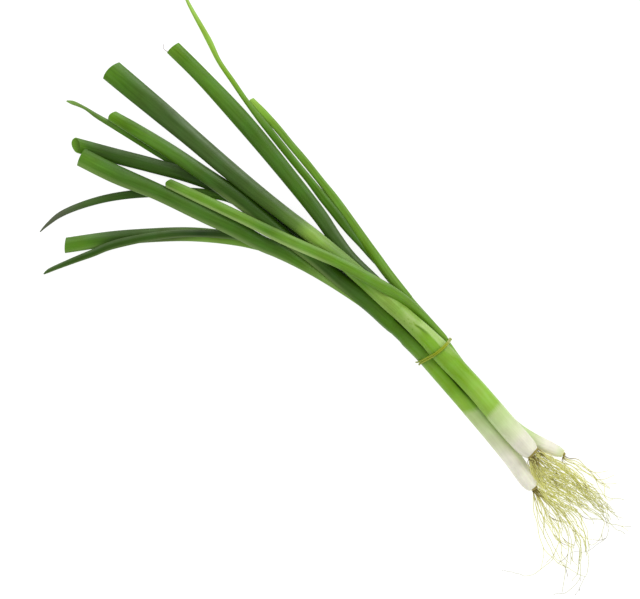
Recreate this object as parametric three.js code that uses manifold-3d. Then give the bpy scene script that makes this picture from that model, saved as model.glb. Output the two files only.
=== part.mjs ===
// A bunch of three spring onions, roots on, held by one doubled rubber band and lying on its side.
// Millimetres. X runs from the leaf tips (-X) to the roots (+X), Z is up and the bunch lies on Z = 0.
// Onion A is the thick one that rides in the groove between onion B, at its left, and the small
// onion C, half under it at its right.
import * as THREE from 'three';
import Module from 'manifold-3d';

const wasm = await Module();
wasm.setup();

// ---- Driving dimensions ----
const GAP = 0.35; // air kept between two neighbouring pieces
const LEAF_WALL = 0.7; // wall of a hollow leaf
const LEAF_SIDES = 10;
const SHANK_SIDES = 16;
const LEAF_RING_STEP = 15; // length of leaf between two rings of its surface
const SHANK_RING_STEP = 9;
const CUT_OVERRUN = 3; // how far a leaf's hollow is carried out past its cut end

const BAND_WIDTH = 1.3; // one strand of the rubber band, along the bunch
const BAND_DEPTH = 0.9; // and its thickness
const BAND_X = 59; // where the band crosses the middle of the bunch
const BAND_Y = 24.7;
const BAND_SLANT = 0.23; // how far it runs along the bunch for each millimetre across
const BAND_BEND = 0.0093; // and how much it lags behind that, by the square of the distance across
const BAND_SPREAD = 0.5; // half the distance between the two strands where they lie side by side
const BAND_PARTING = 0.8; // and what is added to that at onion B's side of the bunch
const BAND_STEPS = 40;

const ROOT_THICK = 0.9; // a root where it leaves the plate
const ROOT_THIN = 0.6; // and at its tip
const ROOT_RING_STEP = 13; // length of root between two rings of its surface
const ROOT_SIDES = 3;
const ROOT_FLOOR = 0.35; // lowest height of a root's middle line
const PLATE_THICK = 2.2;

// ---- Stalks and leaves: middle line and size, each station [x, y, z, width, depth] ----
// A shank's stations run from its neck to its root end.
const SHANK_A = [
  [28, 29.4, 15.6, 11.2, 10.8],
  [49, 28.2, 16.2, 12.9, 12.2],
  [59.5, 27, 16.4, 14, 13.3],
  [71.5, 25.5, 15.8, 13.8, 13],
  [82.5, 24.3, 15, 13.2, 12.6],
  [95, 22.7, 14.9, 13.2, 12.7],
  [107.5, 20.6, 15, 13.5, 12.9],
  [120, 18.4, 15.2, 13.6, 13.1],
  [131, 16.8, 15.5, 13.7, 13.5],
  [140, 15.6, 15.7, 13.2, 13.2],
  [145, 15, 15.6, 12, 12],
  [148, 14.8, 15.5, 9.6, 9.6],
];
const SHANK_B = [
  [24.5, 20.6, 7.2, 11.4, 11.2],
  [51.5, 18.7, 7.4, 11.6, 11.6],
  [72.5, 15.6, 6.7, 11.7, 11.7],
  [94, 12.2, 5.9, 11.7, 11.7],
  [114.5, 8.8, 5.5, 11.7, 11.7],
  [133, 5.4, 5.5, 11.8, 11.8],
  [143.5, 3.2, 5.7, 11.6, 11.6],
  [153, 0.6, 5.7, 11.3, 11.3],
  [159, -1, 5.6, 10.4, 10.4],
  [162.3, -1.6, 5.5, 8.8, 8.8],
  [164, -1.9, 5.5, 6.6, 6.6],
];
const SHANK_C = [
  [23.5, 39.2, 5, 6.2, 6.2],
  [49, 35, 5.2, 6.8, 6.8],
  [61, 32, 5.2, 7.2, 7.2],
  [72.5, 28.9, 4.5, 7.4, 7.4],
  [93, 24.7, 3.8, 7.5, 7.5],
  [109, 21.8, 3.8, 7.8, 7.8],
  [123, 20.4, 4.1, 8.2, 8.2],
  [134, 20.2, 4.4, 8.8, 8.8],
  [145, 21.7, 4.6, 9.2, 9.2],
  [154.5, 24.3, 4.5, 8.6, 8.6],
  [160.5, 26, 4.5, 7.4, 7.4],
  [164.5, 27.2, 4.4, 4.8, 4.8],
];

// A leaf's stations run from its base at the neck to its tip or its cut end.
const LEAF_A1 = [
  [27.2, 29.4, 15.6, 11.2, 10.8],
  [4, 30.2, 14.8, 11, 10.6],
  [-14, 30.8, 14.2, 10.7, 10.6],
  [-28, 31.2, 13.9, 10.3, 10.2],
  [-51.5, 31.2, 13.7, 9.8, 9.4],
  [-73, 30, 13.5, 10, 8.8],
  [-95, 29.3, 13.3, 10.3, 8.2],
  [-124, 29.1, 11.8, 11.4, 7.6],
  [-150, 29.1, 9.9, 12.6, 7.2],
  [-175, 29.3, 8.3, 14, 6.9],
  [-204, 29.2, 6.6, 15, 6.4],
  [-223, 29.2, 5.6, 15.3, 5.8],
];
const LEAF_A2 = [
  [13.5, 34.5, 13, 5.2, 5],
  [-0.5, 35, 12.4, 6.5, 6],
  [-24.5, 36.3, 10.8, 8, 6],
  [-40, 39.6, 9.7, 9, 6.2],
  [-55.5, 43.9, 8.9, 9.9, 6.4],
  [-86, 50.4, 7.6, 10.7, 6.6],
  [-131, 58.4, 6.2, 11.2, 6.6],
  [-175, 64.4, 5, 10.2, 6],
  [-200.5, 66.5, 4.4, 10.2, 5.4],
];
const LEAF_A3 = [
  [11, 31, 8.4, 4.5, 3],
  [-8.5, 29.5, 6.6, 5.8, 3.6],
  [-24, 31.5, 5.6, 6.5, 3.8],
  [-53.5, 31, 5.3, 7.8, 4],
  [-80.5, 27.5, 5, 8.4, 4],
  [-104.5, 20.8, 4.5, 8.4, 3.8],
  [-136.5, 9.8, 4.2, 9.1, 4],
  [-161.5, -1.3, 3, 9.9, 4.3],
  [-186.5, -13.3, 2.2, 10.1, 4.2],
  [-211.5, -24.6, 2.1, 9.6, 4],
];
const LEAF_A4 = [
  [6, 27.5, 5.2, 2.4, 1.8],
  [-14, 27, 2.8, 3, 1.9],
  [-39, 26, 1.4, 3.6, 2],
  [-64.5, 25, 1.1, 3.9, 2],
  [-87.5, 23.5, 1, 3.9, 1.9],
  [-108.5, 20.5, 1, 3.9, 1.9],
  [-129.5, 15.5, 1, 4.2, 1.9],
  [-146.5, 10.5, 1.1, 4.7, 2],
  [-161.5, 8, 1.3, 4.8, 2.4],
  [-191.5, 3.5, 1.3, 4.2, 2.4],
  [-209.5, 0.5, 1.2, 3.1, 2.2],
  [-218.5, -0.5, 1.2, 2.1, 2.2],
  [-226.5, -2.8, 0.9, 2.7, 1.6],
  [-230.5, -4.6, 0.5, 1, 0.8],
];
const LEAF_B1 = [
  [24, 20.6, 7.2, 11.4, 11.2],
  [6.5, 21.4, 7.4, 11.4, 10.8],
  [-15, 20.6, 8, 10.6, 9.6],
  [-42, 20.5, 9, 9.8, 8.6],
  [-62, 19.3, 9.8, 9.7, 8.4],
  [-84.5, 19.2, 10.3, 10.4, 8.4],
  [-107, 18.3, 10.4, 10.6, 8.2],
  [-130, 16.2, 9.8, 9.8, 7.8],
  [-159, 13.5, 8.2, 9.6, 6.8],
  [-185, 9.7, 6.8, 8.8, 6.2],
  [-203.5, 6.8, 6.1, 7.6, 5.4],
];
const LEAF_B2 = [
  [-8, 15.6, 9.2, 1.8, 2.4],
  [-20, 14.8, 9.2, 3.2, 4],
  [-33, 13.7, 9.5, 5, 5.4],
  [-46.5, 12.1, 9.8, 7.2, 6.4],
  [-60, 9.9, 10.3, 9.6, 6.8],
  [-73.5, 6, 10.6, 10.1, 6.8],
  [-94, 1.4, 10.3, 9.8, 6.8],
  [-114, -3.9, 9.6, 9.9, 6.8],
  [-146.5, -12, 8, 10.2, 6.6],
  [-176, -20.7, 7.3, 12.2, 6],
  [-200, -26.5, 7.2, 12.2, 5.6],
];
const LEAF_B3 = [
  [-4, 20, 1, 3.2, 1.8],
  [-30, 19.5, 1.1, 4.8, 2],
  [-56.5, 18, 1.2, 5.6, 2.2],
  [-85.5, 17, 1.2, 6.4, 2.2],
  [-107.5, 13.5, 1.2, 7, 2.2],
  [-130.5, 1.5, 1.3, 6.5, 2.4],
  [-159, -24, 1.4, 5.5, 2.6],
  [-175, -43.5, 1.4, 4.9, 2.6],
  [-186, -63.5, 1.2, 3.9, 2.2],
  [-188.5, -75, 0.8, 2.1, 1.4],
  [-189, -81, 0.5, 0.7, 0.7],
];
const LEAF_B4 = [
  [-14, 16.1, 1.6, 2.2, 1.6],
  [-28, 14.8, 1.7, 3.6, 2.2],
  [-40, 13.3, 1.8, 4.8, 2.8],
  [-63, 8.3, 1.9, 6, 3.6],
  [-79.5, 1.7, 2.1, 7.5, 4],
  [-90, -3.5, 2.2, 8.8, 4.2],
  [-112, -18.5, 2.2, 9.1, 4.2],
  [-132.5, -36.5, 2.2, 9.1, 4.2],
  [-150, -54, 2.2, 9.8, 4.2],
  [-171.5, -78, 2, 9.9, 3.8],
];
const LEAF_B5 = [
  [-12, 16.2, 4.4, 1.6, 1.6],
  [-28, 15, 4.5, 3.2, 2],
  [-44, 13, 4.8, 4, 2.2],
  [-65, 9, 5.3, 4.4, 2.3],
  [-78, 4.8, 5.6, 4.9, 2.4],
  [-89.5, -1, 5.8, 5.5, 2.4],
  [-113, -18.5, 6, 4.8, 2.4],
  [-127.5, -32.5, 5.9, 5.2, 2.4],
  [-143.5, -52, 5.6, 5.7, 2.4],
  [-149.5, -61, 5, 5.3, 2.4],
  [-153.5, -69, 3.6, 4.9, 2.2],
  [-160.5, -81.5, 1.6, 4, 2],
  [-168.5, -97, 0.8, 2.6, 1.4],
  [-169.5, -100.5, 0.5, 0.8, 0.8],
];
const LEAF_C1 = [
  [58, 34.9, 8.6, 4, 2.8],
  [46.5, 36.4, 10.4, 4.8, 3.8],
  [35.5, 37.3, 12.6, 5.3, 4.2],
  [23.5, 37.5, 16, 6, 4.2],
  [14, 36.7, 19, 6.8, 4.2],
  [4.5, 35.1, 21.6, 7.2, 4.4],
  [-9, 32.6, 22.9, 7, 4.4],
  [-26.5, 28.6, 22.6, 6.8, 4.4],
  [-43.5, 23.8, 21.4, 7.4, 4.4],
  [-65, 17.6, 18.4, 7.7, 4.4],
  [-88.5, 11.8, 15.6, 7, 4.4],
  [-118, 4.2, 12.6, 7.1, 4.4],
  [-147, -3.4, 10.3, 6.4, 4],
];
const LEAF_C2 = [
  [23, 39.5, 5, 6.2, 6.2],
  [1.5, 43.8, 4.9, 6.7, 6],
  [-10, 46.7, 4.6, 6.7, 5.6],
  [-21.5, 49.7, 4.2, 6.4, 5],
  [-32, 52.6, 3.6, 6, 4.4],
  [-42, 55.5, 3, 5.4, 3.8],
  [-56, 59, 2.4, 5.2, 3.4],
  [-71.5, 62.1, 1.8, 4.9, 3],
  [-87, 65.2, 1.5, 5, 2.8],
  [-101, 67.6, 1.5, 4.8, 2.8],
  [-115.5, 70.3, 1.4, 4.9, 2.6],
  [-139.5, 73.5, 1.3, 3.6, 2.4],
];
const LEAF_C3 = [
  [-12, 43.9, 4.4, 1.4, 1.6],
  [-23.5, 46.4, 5, 3.2, 2.6],
  [-34, 48.4, 5, 4.8, 3],
  [-46, 51, 4.6, 5.8, 3.4],
  [-61.5, 54.1, 4.2, 5.6, 3.4],
  [-77, 57.6, 3.8, 5, 3.2],
  [-92.5, 60.5, 3.6, 4.9, 3],
  [-123, 66.3, 3.4, 4.4, 2.8],
  [-139.5, 70.2, 3.3, 3.5, 2.8],
  [-155, 74.5, 2.9, 3.4, 2.8],
  [-171, 79, 2.3, 3.2, 2.6],
  [-184, 84.8, 1.9, 3.8, 2.6],
  [-191, 87.6, 1.6, 3.5, 2.4],
  [-212, 95.8, 0.9, 2.1, 1.6],
  [-219.5, 100, 0.5, 0.7, 0.7],
];

// ---- Swept solids ----

// The middle line through the stations, and the width and depth along it.
function spineOf(stations) {
  return {
    line: new THREE.CatmullRomCurve3(stations.map(([x, y, z]) => new THREE.Vector3(x, y, z))),
    size: new THREE.CatmullRomCurve3(stations.map(([, , , w, d]) => new THREE.Vector3(w, d, 0))),
  };
}

function toManifold(vertices, triangles) {
  return new wasm.Manifold(
    new wasm.Mesh({
      numProp: 3,
      vertProperties: new Float32Array(vertices),
      triVerts: new Uint32Array(triangles),
    }),
  );
}

// Joins rings of points, in order, into one closed skin with a fan over each end.
function skin(rings) {
  const sides = rings[0].length;
  const vertices = rings.flat().flatMap((p) => [p.x, p.y, p.z]);
  const triangles = [];
  for (let i = 0; i + 1 < rings.length; i += 1) {
    for (let j = 0; j < sides; j += 1) {
      const a = i * sides + j;
      const b = i * sides + ((j + 1) % sides);
      triangles.push(a, b, b + sides, a, b + sides, a + sides);
    }
  }
  for (const [ring, first, flip] of [
    [rings[0], 0, true],
    [rings.at(-1), (rings.length - 1) * sides, false],
  ]) {
    const middle = ring.reduce((sum, p) => sum.add(p), new THREE.Vector3()).divideScalar(sides);
    const hub = vertices.length / 3;
    vertices.push(middle.x, middle.y, middle.z);
    for (let j = 0; j < sides; j += 1) {
      const a = first + j;
      const b = first + ((j + 1) % sides);
      triangles.push(...(flip ? [hub, b, a] : [hub, a, b]));
    }
  }
  return toManifold(vertices, triangles);
}

// One elliptical section. What would sink below the height `floor` lies flat on it.
function section(at, along, width, depth, sides, floor) {
  const across = new THREE.Vector3(-along.y, along.x, 0).normalize();
  const up = new THREE.Vector3().crossVectors(along, across);
  return Array.from({ length: sides }, (_, j) => {
    const turn = ((j + 0.5) / sides) * Math.PI * 2;
    const point = at
      .clone()
      .addScaledVector(across, (Math.cos(turn) * width) / 2)
      .addScaledVector(up, (Math.sin(turn) * depth) / 2);
    point.z = Math.max(point.z, floor);
    return point;
  });
}

// A stalk or leaf swept along its stations. `grow` swells it, `from` starts it part of the way
// along, and `over` carries its far end on by that many millimetres.
function sweep(stations, { sides, step, grow = 0, from = 0, over = 0, floor = 0 }) {
  const { line, size } = spineOf(stations);
  const count = Math.max(3, Math.round((line.getLength() * (1 - from)) / step));
  const rings = [];
  for (let i = 0; i <= count; i += 1) {
    const t = line.getUtoTmapping(THREE.MathUtils.lerp(from, 1, i / count));
    const { x: width, y: depth } = size.getPoint(t);
    const at = line.getPoint(t);
    const along = line.getTangent(t);
    if (i === 0) at.addScaledVector(along, -Math.max(grow, 0));
    if (i === count) at.addScaledVector(along, over + Math.max(grow, 0));
    rings.push(section(at, along, width + 2 * grow, depth + 2 * grow, sides, floor));
  }
  return skin(rings);
}

const SHANK = { sides: SHANK_SIDES, step: SHANK_RING_STEP };
const LEAF = { sides: LEAF_SIDES, step: LEAF_RING_STEP };

// A cut leaf is a tube, open where it was cut. `solid` is the share of its length, from the base,
// that is not hollow.
function cutLeaf(stations, solid) {
  const hollow = sweep(stations, {
    ...LEAF,
    grow: -LEAF_WALL,
    from: solid,
    over: CUT_OVERRUN,
    floor: LEAF_WALL,
  });
  return sweep(stations, LEAF).subtract(hollow);
}

// A whole leaf is thin enough to be solid, and runs out in a tip.
function wholeLeaf(stations) {
  return sweep(stations, { ...LEAF, sides: 8 });
}

// The one main body of a solid, without loose scraps or sealed pockets.
function mainBody(solid) {
  return solid.decompose().sort((a, b) => b.volume() - a.volume())[0];
}

// Trims a solid back by GAP from the pieces it is pressed against.
function clearOf(solid, neighbours) {
  return mainBody(neighbours.reduce((rest, other) => rest.subtract(other), solid));
}

const swollen = (stations, style) => sweep(stations, { ...style, grow: GAP });

// ---- Rubber band ----

// The outline that a taut loop takes round the three shanks, as the shank that each direction
// touches: [y, z, radius]. `strand` is 1 for one strand and -1 for the other.
function bandLoop(strand) {
  const shanks = [
    [18.0, 7.3, 5.8],
    [27.0, 16.4, 6.85],
    [33, 5.2, 3.7],
  ];
  const clearance = GAP + 0.15 + BAND_DEPTH / 2;
  const corners = [];
  for (let i = 0; i < BAND_STEPS; i += 1) {
    const turn = (i / BAND_STEPS) * Math.PI * 2;
    const reach = ([y, z, r]) => y * Math.cos(turn) + z * Math.sin(turn) + r;
    const [y, z, r] = shanks.reduce((best, s) => (reach(s) > reach(best) ? s : best));
    const out = new THREE.Vector3(0, Math.cos(turn), Math.sin(turn));
    const at = new THREE.Vector3(0, y, z).addScaledVector(out, r + clearance);
    const across = at.y - BAND_Y;
    const spread = BAND_SPREAD + BAND_PARTING * Math.max(0, -Math.cos(turn)) ** 2;
    at.x = BAND_X + BAND_SLANT * across - BAND_BEND * across * across + strand * spread;
    corners.push({ at, out });
  }
  return corners;
}

function bandStrand(strand) {
  const corners = bandLoop(strand);
  const sides = 6;
  const vertices = [];
  const triangles = [];
  corners.forEach(({ at, out }, i) => {
    for (let j = 0; j < sides; j += 1) {
      const turn = (j / sides) * Math.PI * 2;
      const point = at.clone().addScaledVector(out, (Math.sin(turn) * BAND_DEPTH) / 2);
      point.x += (Math.cos(turn) * BAND_WIDTH) / 2;
      vertices.push(point.x, point.y, point.z);
      const a = i * sides + j;
      const b = i * sides + ((j + 1) % sides);
      const next = ((i + 1) % corners.length) * sides - i * sides;
      triangles.push(a, b, b + next, a, b + next, a + next);
    }
  });
  return toManifold(vertices, triangles);
}

function rubberBand() {
  return bandStrand(1).add(bandStrand(-1));
}

// ---- Roots ----

// Repeatable random numbers from 0 to 1.
function seededRandom(seed) {
  let state = seed;
  return () => {
    state = (state * 1664525 + 1013904223) % 4294967296;
    return state / 4294967296;
  };
}

// The short hard plate that the roots grow from, standing off the end of a shank.
function rootPlate(stations, radius) {
  const { line } = spineOf(stations);
  const along = line.getTangent(1);
  const start = line.getPoint(1).addScaledVector(along, GAP);
  const rings = [0, 0.6, 1].map((share) =>
    section(
      start.clone().addScaledVector(along, share * PLATE_THICK),
      along,
      2 * radius * (1 - 0.35 * share * share),
      2 * radius * (1 - 0.35 * share * share),
      10,
      0,
    ),
  );
  return { solid: skin(rings), middle: start.addScaledVector(along, PLATE_THICK / 2), along };
}

// Roots fan out between the guide lines: each one takes a place between two neighbouring guides,
// wanders a little from it and ends part of the way along. A stray is one long root with a way of
// its own. `level` keeps every root in its own layer.
function roots({ stations, radius, guides, strays, count, seed, shortest, level }) {
  const random = seededRandom(seed);
  const plate = rootPlate(stations, radius);
  let solid = plate.solid;
  for (let i = 0; i < count; i += 1) {
    const place = ((i + 0.5 * random()) / count) * (guides.length - 1);
    const left = guides[Math.floor(place)];
    const right = guides[Math.floor(place) + 1] ?? left;
    const end = shortest + (1 - shortest) * Math.sqrt(random());
    const turn = random() * Math.PI * 2;
    const off = radius * 0.55 * Math.sqrt(random());
    const points = [plate.middle.clone()];
    points[0].y += off * Math.cos(turn);
    points[0].z += off * Math.sin(turn);
    left.forEach((_, k) => {
      const near = new THREE.Vector3(...left[k]);
      const far = new THREE.Vector3(...right[k]);
      const point = near.lerp(far, place % 1);
      const stray = 0.5 + 0.5 * k;
      point.x += (random() - 0.5) * stray;
      point.y += (random() - 0.5) * 2 * stray;
      point.z += (random() - 0.5) * 1.2;
      points.push(point);
    });
    solid = solid.add(rootStrand(points, end, level));
  }
  for (const stray of strays) {
    const points = [plate.middle, ...stray.map((point) => new THREE.Vector3(...point))];
    solid = solid.add(rootStrand(points, 1, level));
  }
  return mainBody(solid.simplify(0.02));
}

function rootStrand(points, end, level) {
  const line = new THREE.CatmullRomCurve3(points);
  const count = Math.round((line.getLength() * end) / ROOT_RING_STEP);
  const rings = [];
  for (let i = 0; i <= count; i += 1) {
    const t = (i / count) * end;
    const at = line.getPoint(t);
    if (i > 0) level(at);
    const thick = THREE.MathUtils.lerp(ROOT_THICK, ROOT_THIN, i / count);
    rings.push(section(at, line.getTangent(t), thick, thick, ROOT_SIDES, 0));
  }
  return skin(rings);
}

// Onion B's roots lie under onion A's. This is the height between the two layers, highest at the
// plate of onion B and low away from it.
function layerHeight({ x, y }) {
  return 3.2 + 6.5 * Math.exp(-Math.hypot(x - 164, y + 2.7) / 9);
}

const ROOTS_A = {
  stations: SHANK_A,
  radius: 4.2,
  guides: [
    [[152, 9, 12.5], [157, 5, 9.5], [165, 2, 7], [174, -1, 5.5],
      [185, -1, 4.8], [197, 1, 4.5], [209, 3, 4.2]],
    [[152.5, 11, 12], [158, 8, 9], [166, 6.5, 7], [176, 7.5, 5.6],
      [189, 9.5, 5], [202, 11, 4.5], [214, 11, 4.2]],
    [[153, 13.5, 12.5], [158, 12, 9.5], [167, 13, 7.4], [178, 15, 6],
      [190, 16, 5.2], [204, 16.5, 4.6], [218, 14, 4.2]],
    [[153, 17, 13], [159, 19, 10], [168, 21, 7.8], [180, 23, 6.2],
      [194, 23, 5.2], [207, 20, 4.4], [221, 19, 4]],
  ],
  strays: [
    [[154, 15.5, 12], [162, 16, 8.5], [176, 15, 6], [190, 12.5, 5],
      [204, 11, 4.4], [218, 13.5, 4], [230.6, 18, 3.8]],
  ],
  count: 24,
  seed: 10,
  shortest: 0.55,
  level: (at) => {
    at.z = Math.max(at.z, layerHeight(at) + 0.6);
  },
};
const ROOTS_B = {
  stations: SHANK_B,
  radius: 2.9,
  guides: [
    [[167, -6, 4], [172, -11, 3], [179, -18, 1.8], [189, -25, 0.9],
      [201, -29.5, 0.6], [214, -28, 0.5], [226, -26, 0.5]],
    [[168, -4, 4.5], [177, -8, 3], [187, -15, 1.6], [198, -22.5, 0.9],
      [207, -28, 0.6], [214, -31, 0.5], [220, -37, 0.5]],
    [[169, -3, 5], [181, -4.5, 2.8], [193, -8, 1.6], [203, -14, 1],
      [210, -22, 0.6], [216, -31, 0.5], [222, -43, 0.5]],
    [[169, -2, 5], [183, -1.5, 2.8], [198, -3, 1.8], [210, -8, 1],
      [219, -17, 0.7], [227, -28, 0.5], [230, -42, 0.5]],
    [[169, -1, 5], [184, 3, 3], [199, 7, 2], [212, 8.5, 1.5],
      [218.5, 2, 1], [218.5, -6, 0.8], [212, -14, 0.6]],
  ],
  strays: [
    [[169, -2.5, 4], [180, -4, 2], [192, -10.5, 1], [201, -23, 0.6],
      [202, -40, 0.5], [193, -51, 0.5], [183, -58, 0.5]],
  ],
  count: 20,
  seed: 64,
  shortest: 0.5,
  level: (at) => {
    at.z = Math.max(ROOT_FLOOR, Math.min(at.z, layerHeight(at) - 0.6));
  },
};
const ROOTS_C = {
  stations: SHANK_C,
  radius: 2.2,
  guides: [
    [[170, 24.5, 2.6], [175, 25, 1.8], [182, 28, 1.2], [189, 28, 0.8],
      [196, 25, 0.6], [202, 20, 0.5], [209, 18, 0.5]],
    [[170, 27.5, 2.8], [174, 28.5, 2], [181, 30, 1.4], [190, 30.5, 1],
      [199, 29, 0.8], [207, 27, 0.6], [215, 31, 0.5]],
  ],
  strays: [],
  count: 6,
  seed: 84,
  shortest: 0.6,
  level: (at) => {
    at.z = Math.max(ROOT_FLOOR, Math.min(at.z, 2.6));
  },
};

// ---- Materials ----
function material(name, color, roughness) {
  const made = new THREE.MeshStandardMaterial({ color, roughness, metalness: 0 });
  made.name = name;
  return made;
}
const LEAF_DARK = material('leaf_dark', 0x4a6f28, 0.5);
const LEAF_MID = material('leaf_mid', 0x5c8a2f, 0.5);
const LEAF_PALE = material('leaf_pale', 0x86b150, 0.5);
const SHANK_SKIN = material('shank', 0xb9cf8e, 0.4);
const ROOT_FIBRE = material('root', 0xb6b463, 0.7);
const BAND_RUBBER = material('rubber', 0xa8a134, 0.45);

// ---- The bunch ----
const group = new THREE.Group();
group.name = 'spring_onion_bunch';

function addPiece(name, solid, skinMaterial) {
  const mesh = solid.getMesh();
  const flat = new THREE.BufferGeometry();
  flat.setAttribute('position', new THREE.BufferAttribute(mesh.vertProperties, 3));
  flat.setIndex(new THREE.BufferAttribute(mesh.triVerts, 1));
  const geometry = flat.toNonIndexed();
  geometry.computeVertexNormals();
  const piece = new THREE.Mesh(geometry, skinMaterial);
  piece.name = name;
  group.add(piece);
}

addPiece('onion_a_shank', sweep(SHANK_A, SHANK), SHANK_SKIN);
addPiece('onion_b_shank', sweep(SHANK_B, SHANK), SHANK_SKIN);
addPiece('onion_c_shank', sweep(SHANK_C, SHANK), SHANK_SKIN);

const swollenShankA = swollen(SHANK_A, SHANK);
const swollenShankB = swollen(SHANK_B, SHANK);
const swollenShankC = swollen(SHANK_C, SHANK);
const swollenA1 = swollen(LEAF_A1, LEAF);
const swollenA3 = swollen(LEAF_A3, LEAF);
const swollenB1 = swollen(LEAF_B1, LEAF);
const swollenC2 = swollen(LEAF_C2, LEAF);

addPiece('onion_a_leaf_1', cutLeaf(LEAF_A1, 0.2), LEAF_DARK);
addPiece('onion_a_leaf_2', clearOf(cutLeaf(LEAF_A2, 0.32), [swollenA1, swollenShankA]), LEAF_DARK);
addPiece('onion_a_leaf_3', clearOf(cutLeaf(LEAF_A3, 0.2), [swollenA1, swollenB1]), LEAF_DARK);
addPiece('onion_a_leaf_4', clearOf(wholeLeaf(LEAF_A4), [swollenA3, swollenB1]), LEAF_MID);

addPiece('onion_b_leaf_1', cutLeaf(LEAF_B1, 0.2), LEAF_MID);
addPiece('onion_b_leaf_2', clearOf(cutLeaf(LEAF_B2, 0.34), [swollenB1, swollenShankB]), LEAF_MID);
addPiece('onion_b_leaf_3', clearOf(wholeLeaf(LEAF_B3), [swollenB1]), LEAF_DARK);
addPiece('onion_b_leaf_4', clearOf(cutLeaf(LEAF_B4, 0.2), [swollenB1]), LEAF_MID);
addPiece('onion_b_leaf_5', clearOf(wholeLeaf(LEAF_B5), [swollenB1]), LEAF_DARK);

addPiece(
  'onion_c_leaf_1',
  clearOf(cutLeaf(LEAF_C1, 0.32), [swollenShankC, swollenShankA, swollenA1]),
  LEAF_PALE,
);
addPiece('onion_c_leaf_2', cutLeaf(LEAF_C2, 0.25), LEAF_PALE);
addPiece('onion_c_leaf_3', clearOf(wholeLeaf(LEAF_C3), [swollenC2]), LEAF_PALE);

addPiece('onion_a_roots', roots(ROOTS_A), ROOT_FIBRE);
addPiece('onion_b_roots', roots(ROOTS_B), ROOT_FIBRE);
addPiece('onion_c_roots', roots(ROOTS_C), ROOT_FIBRE);

addPiece('rubber_band', rubberBand(), BAND_RUBBER);

export default group;
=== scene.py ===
"""A tied bunch of three spring onions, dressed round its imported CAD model.

X runs from the leaf tips (-X) to the roots (+X), Z is up and the bunch lies on Z = 0. Shapes are
worked out in millimetres and turned into metres when their mesh is made. Round a stalk or leaf,
`side` goes from 1 at its +Y side to -1 at its -Y side, and `height` is 1 at its top.
"""
import math
import random

import bmesh
import bpy
import numpy as np
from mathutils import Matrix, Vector

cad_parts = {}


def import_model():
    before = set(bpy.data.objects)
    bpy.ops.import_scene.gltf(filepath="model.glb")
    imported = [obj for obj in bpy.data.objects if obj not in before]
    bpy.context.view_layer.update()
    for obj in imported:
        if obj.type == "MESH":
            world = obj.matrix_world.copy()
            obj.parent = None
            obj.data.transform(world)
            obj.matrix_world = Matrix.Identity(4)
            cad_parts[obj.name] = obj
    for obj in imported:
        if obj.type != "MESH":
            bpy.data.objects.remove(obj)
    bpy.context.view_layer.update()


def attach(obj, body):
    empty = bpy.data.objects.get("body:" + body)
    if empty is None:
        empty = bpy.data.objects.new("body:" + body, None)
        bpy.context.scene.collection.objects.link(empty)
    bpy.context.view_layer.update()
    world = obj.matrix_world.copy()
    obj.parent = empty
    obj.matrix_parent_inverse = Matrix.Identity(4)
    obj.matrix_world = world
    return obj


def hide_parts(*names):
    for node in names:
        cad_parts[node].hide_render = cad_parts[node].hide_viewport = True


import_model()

MM = 0.001  # metres in a millimetre
TURN = 2 * math.pi

# ---- Driving dimensions, in millimetres ----
LEAF_WALL = 0.7
LEAF_SIDES = 44
LEAF_STEP = 2.0  # between two rings of a leaf
SHANK_SIDES = 96
SHANK_STEP = 0.7
END_RINGS = (0.3, 0.7, 1.2)  # how far from either end the extra rings lie that shape it
SPINE_POINTS = 60  # points of a middle line for each of its stations
HEADING_SPAN = 0.8  # how far ahead and behind a middle line's direction is taken
THINNEST = 0.1  # the least radius of a leaf
RIM_BULGE = 0.12  # how far a cut edge is rounded outwards
CUT_REACH = 18.0  # length of leaf over which its rings turn to follow a slanting cut
ROUND_BASE = 12.0  # length over which a leaf stays round where it leaves its neck
VEIN_GAP = 0.7  # between two veins of a leaf
SHEATH_EDGE = 0.8  # length along a stalk of the edge of a sheath's layer
SHEATH_INSET = 0.1  # a stalk's innermost skin lies this far inside its stations
FEATHER = 0.3  # and its start this much further

BAND_WIDTH = 1.1
BAND_DEPTH = 0.85
BAND_X = 59  # where the band crosses the middle of the bunch
BAND_Y = 24.7
BAND_SLANT = 0.23  # how far it runs along the bunch for each millimetre across
BAND_BEND = 0.0093  # and how much it lags behind that, by the square of the distance across
BAND_SPREAD = 0.5  # half the distance between its two strands where they lie side by side
BAND_PARTING = 0.8  # and what is added to that at onion B's side of the bunch
BAND_STEPS = 240
BAND_SIDES = 14
BAND_GAP = 0.5  # between the band's inside and the stalks' own circles
BAND_HOLDS = [[18.0, 7.3, 5.8], [27.0, 16.4, 6.85], [33.0, 5.2, 3.7]]  # the stalks: [y, z, radius]
BAND_GRAIN = 90  # length that the marks of the rubber are drawn out to, once round

ROOT_THICK = 0.48  # a root where it leaves the plate
ROOT_THIN = 0.34  # and at its tip
ROOT_STEP = 1.5
ROOT_POINTS = 160  # points of its curve, before it is cut into steps
ROOT_WAVES = ((6.0, 0.07), (13.0, 0.2), (27.0, 0.5))  # length and size of its crooks
ROOT_SWING = (0.6, 1.0, 0.35)  # share of them along X, Y and Z
ROOT_EASE = 14  # length over which they begin
ROOT_UNRULY = 70  # and that over which they double
ROOT_SIDES = 6
ROOT_REST = 0.02  # no root's skin is lower than this
ROOTLET_THICK = 0.32
ROOTLET_THIN = 0.26
ROOTLET_CHANCE = 0.25  # share of the roots that have a side root
ROOTLET_REACH = (5, 14)
ROOTLET_SIDES = 4
ROOTS_END = 228.0  # side roots stop growing along the bunch here
PLATE_THICK = 1.6
PLATE_SIDES = 28
PLATE_CROWD = 0.45  # share of the plate's radius over which a root's start may stray
PLATE_EDGE = 0.55  # and how far to the side of its middle the roots may start
PLATE_B = (164, -2.7)  # onion B's, which its roots and onion A's lie round
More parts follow.
